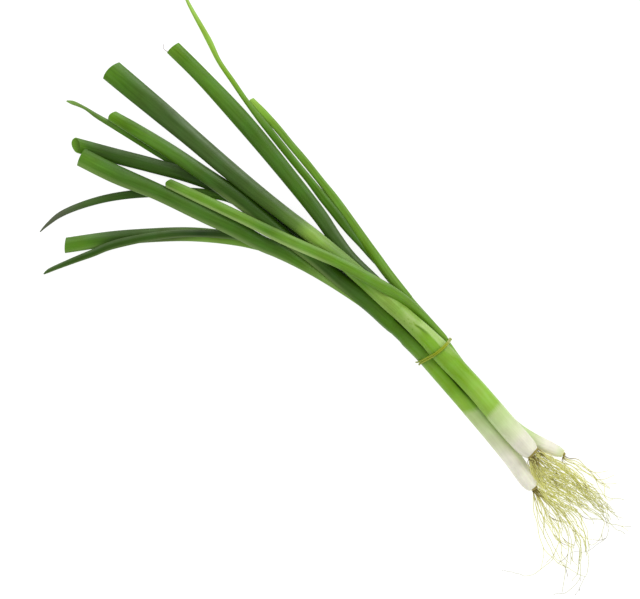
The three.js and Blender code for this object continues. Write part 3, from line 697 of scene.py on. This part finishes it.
# Here and in the leaves below, edges paint a pale highlight above 0 and shade below 0; this leaf's +Y
# edge has painted shade where leaf_a_large shades it.
leaf(
    "leaf_b_front", "onion_b_leaf_1",
    cut_leaf(LEAF_B1, 21, 0.15, {"bow": 1.5, "slant": 1.6}, edges=(0.4, -0.8, 0.1, 0.55)), "leaf_mid",
    [("leaf", 24), ("fern", 4), ("pine", -30), ("fern", -48), ("pine", -90, -116), ("fern", -140),
     ("leaf", -170, -190), ("grass", -203)],
    bloom_and_highlight=[(-60, 0), (-115, 0), (-135, 0.4), (-165, 0.4), (-185, 0.3), (-203, 0.3)],
)
leaf(
    "leaf_b_left", "onion_b_leaf_2",
    cut_leaf(LEAF_B2, 22, 0.2, {"bow": 0.6}, edges=(0.25, -0.35, 0.15, 1)), "leaf_mid",
    [("dusty", 2, -28), ("leaf", -46), ("fern", -66, -172), ("leaf", -192, -200)],
    bloom_and_highlight=0.12,
)
leaf(
    "leaf_b_arched", "onion_b_leaf_3", whole_leaf(LEAF_B3, 23), "leaf_dark",
    [("pine", 12), ("fern", -90, -110), ("leaf", -126), ("slate", -142), ("pine", -158),
     ("slate", -178), ("bark", -186, -189)],
    bloom_and_highlight=0.1,
)
leaf(
    "leaf_b_wide", "onion_b_leaf_4",
    cut_leaf(LEAF_B4, 24, 0.15, {"slant": 2.0, "bow": 0.4}, edges=(0.15, 0, 0.3, 1)), "leaf_mid",
    [("sage", 4, -34), ("leaf", -60), ("grass", -80, -106), ("olive", -122), ("pine", -142, -150),
     ("leaf", -164, -171)],
)
leaf(
    "leaf_b_narrow", "onion_b_leaf_5",
    whole_leaf(LEAF_B5, 25, edges=(0.15, 0.05, 0.3, 1)), "leaf_dark",
    [("sage", 2), ("fern", -40, -76), ("pine", -94), ("shadowed_green", -108), ("pine", -126, -164),
     ("slate", -169)],
)
leaf(
    "leaf_c_crossing", "onion_c_leaf_1",
    cut_leaf(LEAF_C1, 31, 0.2, {"bow": 1.7, "slant": 1.4}, 0.05, (0.6, 0.1, 0.4, 1)), "leaf_pale",
    [("fresh", 66), ("grass", 44, -62), ("leaf", -76), ("grass", -92, -134), ("leaf", -146)],
    inside="grass",
)
leaf(
    "leaf_c_pale", "onion_c_leaf_2",
    cut_leaf(LEAF_C2, 32, 0.2, {"slant": 0.4, "bow": 0.4}), "leaf_pale",
    [("grass", 22, -108), ("fresh", -128), ("lime", -139)],
    inside="meadow", bloom_and_highlight=0.15,
)
leaf(
    "leaf_c_bright", "onion_c_leaf_3", whole_leaf(LEAF_C3, 33), "leaf_pale",
    [("fern", 2, -38), ("leaf", -76, -118), ("grass", -140), ("fresh", -160), ("lime", -182, -219)],
    bloom_and_highlight=0.15,
)


# ---- The stalks ----
def step_at(side, x, at, slant, thick):
    """A layer of sheath that starts at a place and thickens the stalk from there on."""
    edge = at + slant * side
    return thick * smooth(edge - SHEATH_EDGE / 2, edge + SHEATH_EDGE / 2, x)


def feathered(x, start, end):
    """The thin start of a sheath: it comes out of the leaf that it wraps without an edge."""
    return -FEATHER * (1 - smooth(start, end, x))


# The mouth of onion A's outer sheath, as the (x, side) where its pale film begins, and the specks
# before it.
MOUTH = [(36, 0.16), (40, 0.3), (45, 0.37), (50, 0.34), (57, 0.28), (63, 0.34), (70, 0.6)]
SPECKS = [(31, 0.02), (33.6, -0.2), (34.6, -0.12), (35.2, 0.16), (37.5, -0.5), (30, -0.45)]


def mouth_border(x):
    return np.interp(x, *zip(*MOUTH))


def film_a(side, height, x):
    """A pale film on the +Y side of onion A's neck, a dark slit that runs into it, and scuffed skin
    before that."""
    border = mouth_border(x)
    film = smooth(border - 0.06, border + 0.14, side) * smooth(35, 41, x)
    film *= 0.65 - 0.4 * smooth(54, 62, x) - 0.25 * smooth(64, 72, x)
    slit = bump_at(side, border - 0.12, 0.07 + 0.012 * np.maximum(x - 37, 0))
    slit *= window(x, 35.5, 37.5, 39, 50)
    scuff = bump_at(side, -0.1, 0.35) * window(x, 24, 30, 40, 45)
    strip = bump_at(side, 0.35, 0.3) * window(x, 21, 30, 34, 38)
    specks = sum(bump_at(side, across, 0.06) * bump_at(x, along, 0.5) for along, across in SPECKS)
    top = smooth(-0.2, 0.2, height)
    return top * (film + 0.3 * scuff + 0.4 * strip - 0.8 * slit - 0.6 * specks)


def relief_a(side, height, x):
    """A fine ridge where the film begins, and the layers of the sheaths."""
    ridge = 0.1 * bump_at(side, mouth_border(x), 0.12)
    ridge *= window(x, 36, 40, 55, 62) * smooth(0, 0.3, height)
    layers = step_at(side, x, 112, -1, 0.12) + step_at(side, x, 132, 1, 0.1)
    return feathered(x, 20, 25) + ridge + layers - SHEATH_INSET


def relief_b(side, height, x):
    """A slight waist on the -Y side of the neck, and the layers of the sheaths."""
    waist = window(x, 25, 30, 36, 40) * (1 - side) / 2
    layers = step_at(side, x, 101, 2.5, 0.12) + step_at(side, x, 142, 0.5, 0.1)
    return feathered(x, 16, 21) - 0.5 * waist + layers - SHEATH_INSET


def relief_c(side, height, x):
    return feathered(x, 14, 20)


def film_b(side, height, x):
    """Onion B has painted shade in the crease under onion A's edge, and a green tinge in that crease
    nearer the roots.
    """
    # The crease where onion A lies over onion B; below 0 it is painted shade.
    shaded_crease = smooth(0.36, 0.54, side) * smooth(-0.3, 0.1, height)
    tinge = 0.45 * window(x, 98, 116, 140, 154)
    return shaded_crease * (tinge - 0.9 * (1 - smooth(80, 106, x)))


def stalk(name, node, stations, seed, relief, film, stops, slant):
    skin = shank(stations, seed, relief, film)
    material = plant_skin(
        name + "_skin", skin.spine, stops, "meadow", 0.1,
        fray=0.3, slant=slant, gloss=0.36, flesh=0.1, streaky=0.35,
    )
    skin.piece(name, material, "shank", node)


stalk(
    "stalk_a", "onion_a_shank", SHANK_A, 41, relief_a, film_a,
    [("meadow", 20, 34), ("fresh", 46, 80), ("lime", 96, 109.5), ("pale", 113, 118), ("cream", 132),
     ("white", 137, 148)],
    -1.0,
)
# Its whitest stop is the white made lighter to make up for the shade onion A casts on it: painted light.
stalk(
    "stalk_b", "onion_b_shank", SHANK_B, 42, relief_b, film_b,
    [("leaf", 16, 34), ("grass", 50), ("fresh", 66, 84), ("lime", 93, 99), ("pale", 103, 108),
     ("cream", 130), ("brightened_white", 140, 163)],
    2.5,
)
stalk(
    "stalk_c", "onion_c_shank", SHANK_C, 43, relief_c, None,
    [("grass", 14, 44), ("fresh", 62), ("lime", 112), ("pale", 126, 140), ("cream", 147),
     ("brightened_white", 152, 158), ("cream", 162), ("straw", 164)],
    0.0,
)


# ---- Roots ----
def layer_height(x, y):
    """Onion B's roots lie under onion A's: the height between the two layers, which rises to
    onion B's plate."""
    off = math.hypot(x - PLATE_B[0], y - PLATE_B[1])
    return LAYER_LOW + LAYER_RISE * math.exp(-off / LAYER_FALL)


def above_layer(p):
    return max(p[2], layer_height(p[0], p[1]) + LAYER_GAP)


def below_layer(p):
    return min(p[2], layer_height(p[0], p[1]) - LAYER_GAP)


def low_down(p):
    return min(p[2], ROOTS_C_TOP)


def as_it_lies(p):
    return p[2]


# Lines that the roots fan out between: [x, y, z] along them.
GUIDES_A = [
    [[151.5, 8.5, 12.5], [156.5, 5, 9.5], [165, 2, 7], [174, -1, 5.5], [185, -1, 4.8],
     [197, 1, 4.5], [209, 3, 4.2]],
    [[152.5, 11, 12], [158, 8, 9], [166, 6.5, 7], [176, 7.5, 5.6], [189, 9.5, 5], [202, 11, 4.5],
     [214, 11, 4.2]],
    [[153, 13.5, 12.5], [158, 12, 9.5], [167, 13, 7.4], [178, 15, 6], [190, 16, 5.2],
     [204, 16.5, 4.6], [218, 14, 4.2]],
    [[152.5, 18.8, 13], [158.5, 20.8, 10.4], [168, 22, 7.8], [180, 22, 6.2], [194, 21, 5.2],
     [207, 19, 4.4], [221, 18, 4]],
]
GUIDES_B = [
    [[167, -6, 4], [172, -10, 3], [180, -16, 1.8], [190, -22, 0.9], [201, -25, 0.6],
     [212, -26, 0.5], [222, -28, 0.5]],
    [[168, -4, 4.5], [177, -8, 3], [187, -12, 1.6], [198, -17, 0.9], [207, -21, 0.6],
     [214, -27, 0.5], [219, -36, 0.5]],
    [[169, -3, 5], [181, -4, 2.8], [193, -6, 1.6], [203, -11, 1], [210, -17, 0.6], [217, -26, 0.5],
     [222, -38, 0.5]],
    [[169, -2, 5], [183, -1.5, 2.8], [198, -3, 1.8], [210, -8, 1], [218, -15, 0.7], [225, -26, 0.5],
     [228, -38, 0.5]],
    [[169, -1, 5], [182, 2, 3], [195, 4, 2], [206, 2, 1.5], [214, -3, 1], [220, -10, 0.8],
     [225, -20, 0.6]],
]
GUIDES_C = [
    [[168, 23, 2.6], [174, 24, 1.8], [182, 25, 1.2], [189, 25, 0.8], [196, 24, 0.6], [202, 20, 0.5],
     [209, 18, 0.5]],
    [[168, 26.5, 2.8], [174, 28.5, 2], [181, 30, 1.4], [190, 30.5, 1], [199, 29, 0.8],
     [207, 27, 0.6], [215, 31, 0.5]],
]
# Long roots that each go a way of their own: (x, y) along them.
STRAYS_A = [
    [(154, 6), (162, 3), (169, -1), (174, -2), (181, -2), (191, 0)],
    [(156, 8), (162, 6), (170, 6), (180, 9), (191, 10), (202, 11), (212, 12), (220, 14), (230, 18)],
    [(157, 12), (163, 12), (172, 14), (189, 16), (198, 17), (205, 16), (216, 12), (222, 11), (228, 13)],
    [(158, 16), (163, 19), (173, 21), (180, 23), (193, 21), (200, 22), (210, 19), (215, 18), (221, 20)],
    [(158, 19), (166, 20), (186, 22), (202, 19), (208, 16), (219, 10), (221, 3), (217, -9), (210, -20)],
    [(160, 20), (172, 22), (183, 22), (198, 22), (203, 23), (208, 26), (215, 31)],
    [(150, 8), (155, 6.6), (160, 5.6), (168, 3), (178, 1), (190, 0)],
    [(150.5, 9.2), (155, 7.8), (161, 5), (170, 0), (180, -2), (192, -3)],
]
STRAYS_B = [
    [(170, -9), (177, -16), (185, -22), (199, -29), (206, -30), (213, -28), (219, -26), (227, -26)],
    [(177, -7), (183, -14), (191, -19), (202, -25), (208, -27), (216, -27)],
    [(179, -8), (189, -13), (198, -18), (207, -18)],
    [(184, -5), (192, -10), (198, -17), (202, -25), (204, -31), (202, -40), (197, -48), (183, -58)],
    [(187, -4), (194, -7), (203, -13), (208, -19), (213, -27), (218, -35), (222, -42)],
    [(192, -3), (202, -6), (209, -9), (217, -17), (224, -27), (225, -36), (220, -48)],
    [(181, 2), (190, 4), (197, 4), (204, -1), (211, -5), (220, -14), (228, -26), (230, -34), (230, -40)],
    [(183, 4), (195, 9), (203, 11), (212, 10), (217, 5), (219, 0), (218, -6), (215, -7)],
]
STRAYS_C = [
    [(167, 25), (173, 26), (178, 29), (184, 30), (193, 28)],
    [(168, 27), (174, 30), (180, 30), (196, 29), (203, 29)],
]


def strand(skin, points, end, level, thick, thin, draw, sides=ROOT_SIDES):
    """One root: a fine tapering tube through its points, a little crooked all along."""
    dense = catmull(points, np.linspace(0, end, ROOT_POINTS))
    reach = reach_of(dense)
    count = max(4, round(reach[-1] / ROOT_STEP))
    s = np.linspace(0, reach[-1], count + 1)
    middle = read_at(s, reach, dense)
    for wave, size in ROOT_WAVES:
        swing = size * smooth(0, ROOT_EASE, s) * (1 + (s / ROOT_UNRULY) ** 2)
        for axis, part in enumerate(ROOT_SWING):
            middle[:, axis] += part * swing * np.sin(s / wave * TURN + draw.uniform(0, TURN))
    radius = (thin + (thick - thin) * (1 - (s / reach[-1]) ** 1.3)) / 2
    for k in range(1, len(middle)):
        middle[k, 2] = max(level(middle[k]), radius[k])
    along = np.gradient(middle, axis=0)
    along /= np.linalg.norm(along, axis=1, keepdims=True)
    across, up = directions(along + [1e-4, 2e-4, 0])
    turn = np.arange(sides) / sides * TURN
    rings = middle[:, None] + radius[:, None, None] * (
        across[:, None] * np.cos(turn)[:, None] + up[:, None] * np.sin(turn)[:, None]
    )
    rings[..., 2] = np.maximum(rings[..., 2], ROOT_REST)
    grain = np.zeros(rings.shape)
    grain[..., 0] = np.cos(turn)
    grain[..., 1] = draw.random()
    grain[..., 2] = s[:, None]
    skin.add(rings, grain)
    return middle


def root_plate(skin, stations, radius):
    """The short hard plate that the roots grow from, at the end of a stalk."""
    spine = Spine(stations)
    end, along, _ = spine.at(spine.length)
    across, up = directions(along)
    s = np.linspace(0, PLATE_THICK, 7)
    turn = np.arange(PLATE_SIDES) / PLATE_SIDES * TURN
    bumps = 1 + 0.09 * np.cos(5 * turn) + 0.06 * np.cos(9 * turn + 1)
    size = radius * (1 - 0.5 * (s / PLATE_THICK) ** 2)
    wide = (np.cos(turn) * bumps)[:, None] * size[:, None, None]
    high = (np.sin(turn) * bumps)[:, None] * size[:, None, None]
    rings = end + along * s[:, None, None] + across * wide + up * high
    rings[..., 2] = np.maximum(rings[..., 2], 0)
    skin.add(rings, np.array([0, 0.5, 2.0]))
    return end[0] + along[0] * PLATE_THICK / 2


def root_head(name, node, stations, guides, strays, radius, count, seed, shortest, level):
    """Roots fan out between the guide lines, each with a place and a crookedness of its own, and
    finer rootlets leave them on their way. `shortest` is the share of its guides that a root
    reaches at least, and `level` the height at which it lies."""
    draw = random.Random(seed)
    skin = Skin()
    plate = root_plate(skin, stations, radius)
    guides = np.array(guides, float)

    def start(toward):
        turn, off = draw.uniform(0, TURN), PLATE_CROWD * radius * math.sqrt(draw.random())
        edge = PLATE_EDGE * radius
        sideways = np.clip(toward[1] - plate[1], -edge, edge)
        return plate + np.array([0, sideways + off * math.cos(turn), off * math.sin(turn)])

    for i in range(count):
        place = (i + draw.random()) / count * (len(guides) - 1)
        left = guides[int(place)]
        right = guides[min(int(place) + 1, len(guides) - 1)]
        line = left + (right - left) * (place % 1)
        stray = np.linspace(0.5, 4.0, len(line))
        line[:, 0] += [draw.uniform(-0.5, 0.5) * k for k in stray]
        line[:, 1] += [draw.uniform(-1, 1) * k for k in stray]
        line[:, 2] += [draw.uniform(-0.8, 0.8) for _ in stray]
        end = shortest + (1 - shortest) * draw.random()
        thick = ROOT_THICK * draw.uniform(0.75, 1.2)
        path = strand(skin, np.vstack([start(line[0]), line]), end, level, thick, ROOT_THIN, draw)
        if draw.random() < ROOTLET_CHANCE:
            rootlet(skin, path, level, draw)
    for line in strays:
        sinking = plate[2] * np.linspace(0.8, 0, len(line)) ** 2
        line = np.column_stack([np.array(line, float), sinking + guides[0, -1, 2]])
        line = np.vstack([start(line[0]), line])
        path = strand(skin, line, 1.0, level, ROOT_THICK, ROOT_THIN, draw)
        rootlet(skin, path, level, draw)
    skin.piece(name, ROOT_FIBRE, "root", node)


def rootlet(skin, path, level, draw):
    """A fine side root that leaves a root part of the way along."""
    first = draw.randint(len(path) // 2, len(path) - 4)
    base = path[first]
    way = path[first + 2] - path[first]
    way /= np.linalg.norm(way)
    bend = draw.choice((-1, 1)) * draw.uniform(0.3, 0.8)
    sideways = np.array([-way[1], way[0], 0]) * bend
    reach = max(2.0, min(draw.uniform(*ROOTLET_REACH), ROOTS_END - base[0]))
    points = [base, base + (way + sideways * 0.5) * reach * 0.4, base + (way + sideways) * reach]
    strand(skin, np.array(points), 1.0, level, ROOTLET_THICK, ROOTLET_THIN, draw, ROOTLET_SIDES)


ROOT_FADE = 90.0  # length that the colours of a root are spread along
ROOT_COLOURS = [
    (0.0, "#75652a"), (0.03, "#a89c50"), (0.07, "#d8d684"), (0.45, "#dddd86"), (0.72, "#d2d39e"),
    (1.0, "#c2c2b6"),
]


def root_fibre():
    """Khaki root fibre: brown where some roots leave the plate and paler towards the tips."""
    g = Graph("root_fibre")
    grain = g.read("grain").outputs["Vector"]
    parts = g.add("ShaderNodeSeparateXYZ", grain)
    own, place = parts.outputs[1], parts.outputs[2]
    patches = g.noise(g.stretch(grain, (0.4, 9.0, 0.35)), 1.0)
    wavering = g.math("MULTIPLY_ADD", g.math("SUBTRACT", patches, 0.5), 5.0, place)
    shifted = g.math("MULTIPLY_ADD", own, -13.0, g.math("ADD", wavering, 6.0))
    stops = [(share, rgb(colour)) for share, colour in ROOT_COLOURS]
    base = g.ramp(g.math("DIVIDE", shifted, ROOT_FADE), stops)
    colour = g.tone(base, 0.5, g.swing(patches, 0.85, 1.1), g.span(own, 0, 1, 1.12, 0.88))
    return g.finish(colour, g.swing(patches, 0.45, 0.65), patches, 0.0001, Specular_IOR_Level=0.3)


ROOT_FIBRE = root_fibre()
root_head(
    "roots_a", "onion_a_roots", SHANK_A, GUIDES_A, STRAYS_A,
    radius=4.8, count=100, seed=7, shortest=0.5, level=above_layer,
)
root_head(
    "roots_b", "onion_b_roots", SHANK_B, GUIDES_B, STRAYS_B,
    radius=2.4, count=25, seed=19, shortest=0.45, level=below_layer,
)
root_head(
    "roots_c", "onion_c_roots", SHANK_C, GUIDES_C, STRAYS_C,
    radius=1.2, count=5, seed=31, shortest=0.5, level=low_down,
)


# ---- A dry thread at a cut ----
DRY_THREAD = [(-199.6, 62.6, 4.6), (-202, 61.9, 4.2), (-204.6, 62.4, 3.6), (-206, 64.6, 3)]
DRY_THICK = 0.42
DRY_THIN = 0.3


def dry_thread():
    """A torn vein that has dried and curled at the cut end of onion A's wide leaf."""
    g = Graph("dry_vein")
    patches = g.noise(g.stretch(g.read("grain").outputs["Vector"], (0.4, 1.0, 0.6)), 1.0)
    colour = g.blend(g.span(patches, 0.35, 0.65, 0, 1), rgb("#85707c"), rgb("#a9a39c"))
    skin = Skin()
    strand(skin, DRY_THREAD, 1.0, as_it_lies, DRY_THICK, DRY_THIN, random.Random(3))
    skin.piece("dry_thread", g.finish(colour, 0.6, patches, 0.0001), "root", None)


# ---- The rubber band ----
def band_loop(side):
    """The taut loop round the three stalks, and its way outwards. `side` is 1 for one strand and -1
    for the other."""
    circles = np.array(BAND_HOLDS)
    turn = np.arange(BAND_STEPS) / BAND_STEPS * TURN
    out = np.stack([0 * turn, np.cos(turn), np.sin(turn)], 1)
    touched = np.argmax(circles[:, :2] @ out[:, 1:].T + circles[:, 2:], axis=0)
    at = np.zeros((BAND_STEPS, 3))
    at[:, 1:] = circles[touched, :2]
    at += out * (circles[touched, 2:] + BAND_GAP + BAND_DEPTH / 2)
    across = at[:, 1] - BAND_Y
    spread = BAND_SPREAD + BAND_PARTING * np.maximum(0, -np.cos(turn)) ** 6
    at[:, 0] = BAND_X + BAND_SLANT * across - BAND_BEND * across**2 + side * spread
    return at, out


def rubber():
    g = Graph("rubber")
    marks = g.noise(g.stretch(g.read("grain").outputs["Vector"], (1.0, 1.0, 0.6)), 1.4, 3.0)
    colour = g.blend(g.span(marks, 0.35, 0.65, 0, 1), rgb("#728009"), rgb("#a4b226"))
    return g.finish(colour, g.swing(marks, 0.3, 0.45), marks, 0.00012, Specular_IOR_Level=0.2)


def rubber_band():
    skin = Skin()
    turn = np.arange(BAND_SIDES) / BAND_SIDES * TURN
    for side in (1, -1):
        at, out = band_loop(side)
        wide = np.array([1.0, 0, 0]) * (np.cos(turn) * BAND_WIDTH / 2)[:, None]
        high = out[:, None] * (np.sin(turn) * BAND_DEPTH / 2)[:, None]
        grain = np.zeros((BAND_STEPS, len(turn), 3))
        grain[..., 0] = np.cos(turn)
        grain[..., 2] = np.linspace(0, BAND_GRAIN, BAND_STEPS)[:, None]
        skin.add(at[:, None] + wide + high, grain, closed=True)
    skin.piece("band", rubber(), "rubber_band", "rubber_band")


dry_thread()
rubber_band()


# ---- Floor, lights and camera, in metres ----
FLOOR_HALF = 15.0
FLOOR_DROP = 0.0004  # how far under the bunch it lies
FLOOR_GREYS = ((0.28, 0.28, 0.28, 1), (0.3, 0.3, 0.3, 1))
FLOOR_GLOW = 0.88  # the floor's own light
WORLD_LIGHT = 0.55
LAMPS = [  # name, place, size and power
    ("key", (-0.25, 1.45, 1.0), 1.1, 14),
    ("tip_fill", (-1.6, -0.2, 1.5), 1.6, 11),
    ("root_fill", (1.6, -0.2, 1.5), 1.6, 11),
]
VIEW_TURN = math.radians(40)  # from X to the picture's sideways direction
VIEW_CENTRE = (-0.02103, 0.00245)
VIEW_WIDTH = 0.416  # what the picture spans, at the height of the leaves
VIEW_HEIGHT = 0.0055
LENS = 250.0
SENSOR = 36.0


def floor():
    mesh = bpy.data.meshes.new("floor")
    sides = ((-1, -1), (1, -1), (1, 1), (-1, 1))
    corners = [(FLOOR_HALF * x, FLOOR_HALF * y, -FLOOR_DROP) for x, y in sides]
    mesh.from_pydata(corners, [], [(0, 1, 2, 3)])
    made = placed("floor", mesh)
    g = Graph("floor_paint")
    mottle = g.noise(g.add("ShaderNodeTexCoord").outputs["Object"], 3.0)
    colour = g.blend(g.swing(mottle, 0, 1), *FLOOR_GREYS)
    made.data.materials.append(
        g.finish(colour, 0.9, mottle, 0.0, Specular_IOR_Level=0.0, Emission_Strength=FLOOR_GLOW)
    )


def lamp(name, at, size, power):
    """A round soft lamp aimed at the bunch."""
    data = bpy.data.lights.new(name, "AREA")
    data.shape = "DISK"
    data.size = size
    data.energy = power
    made = placed(name, data)
    made.location = at
    made.rotation_euler = (-Vector(at)).to_track_quat("-Z", "Y").to_euler()


def world(strength):
    made = bpy.data.worlds.new("studio")
    made.use_nodes = True
    light = made.node_tree.nodes["Background"].inputs
    light["Color"].default_value = (1, 1, 1, 1)
    light["Strength"].default_value = strength
    bpy.context.scene.world = made


def camera():
    data = bpy.data.cameras.new("camera")
    data.lens = LENS
    data.sensor_width = SENSOR
    made = placed("camera", data)
    made.location = (*VIEW_CENTRE, VIEW_HEIGHT + VIEW_WIDTH * LENS / SENSOR)
    made.rotation_euler = (0, 0, VIEW_TURN)
    bpy.context.scene.camera = made


floor()
world(WORLD_LIGHT)
for described in LAMPS:
    lamp(*described)
camera()
bpy.context.scene.view_settings.view_transform = "Standard"
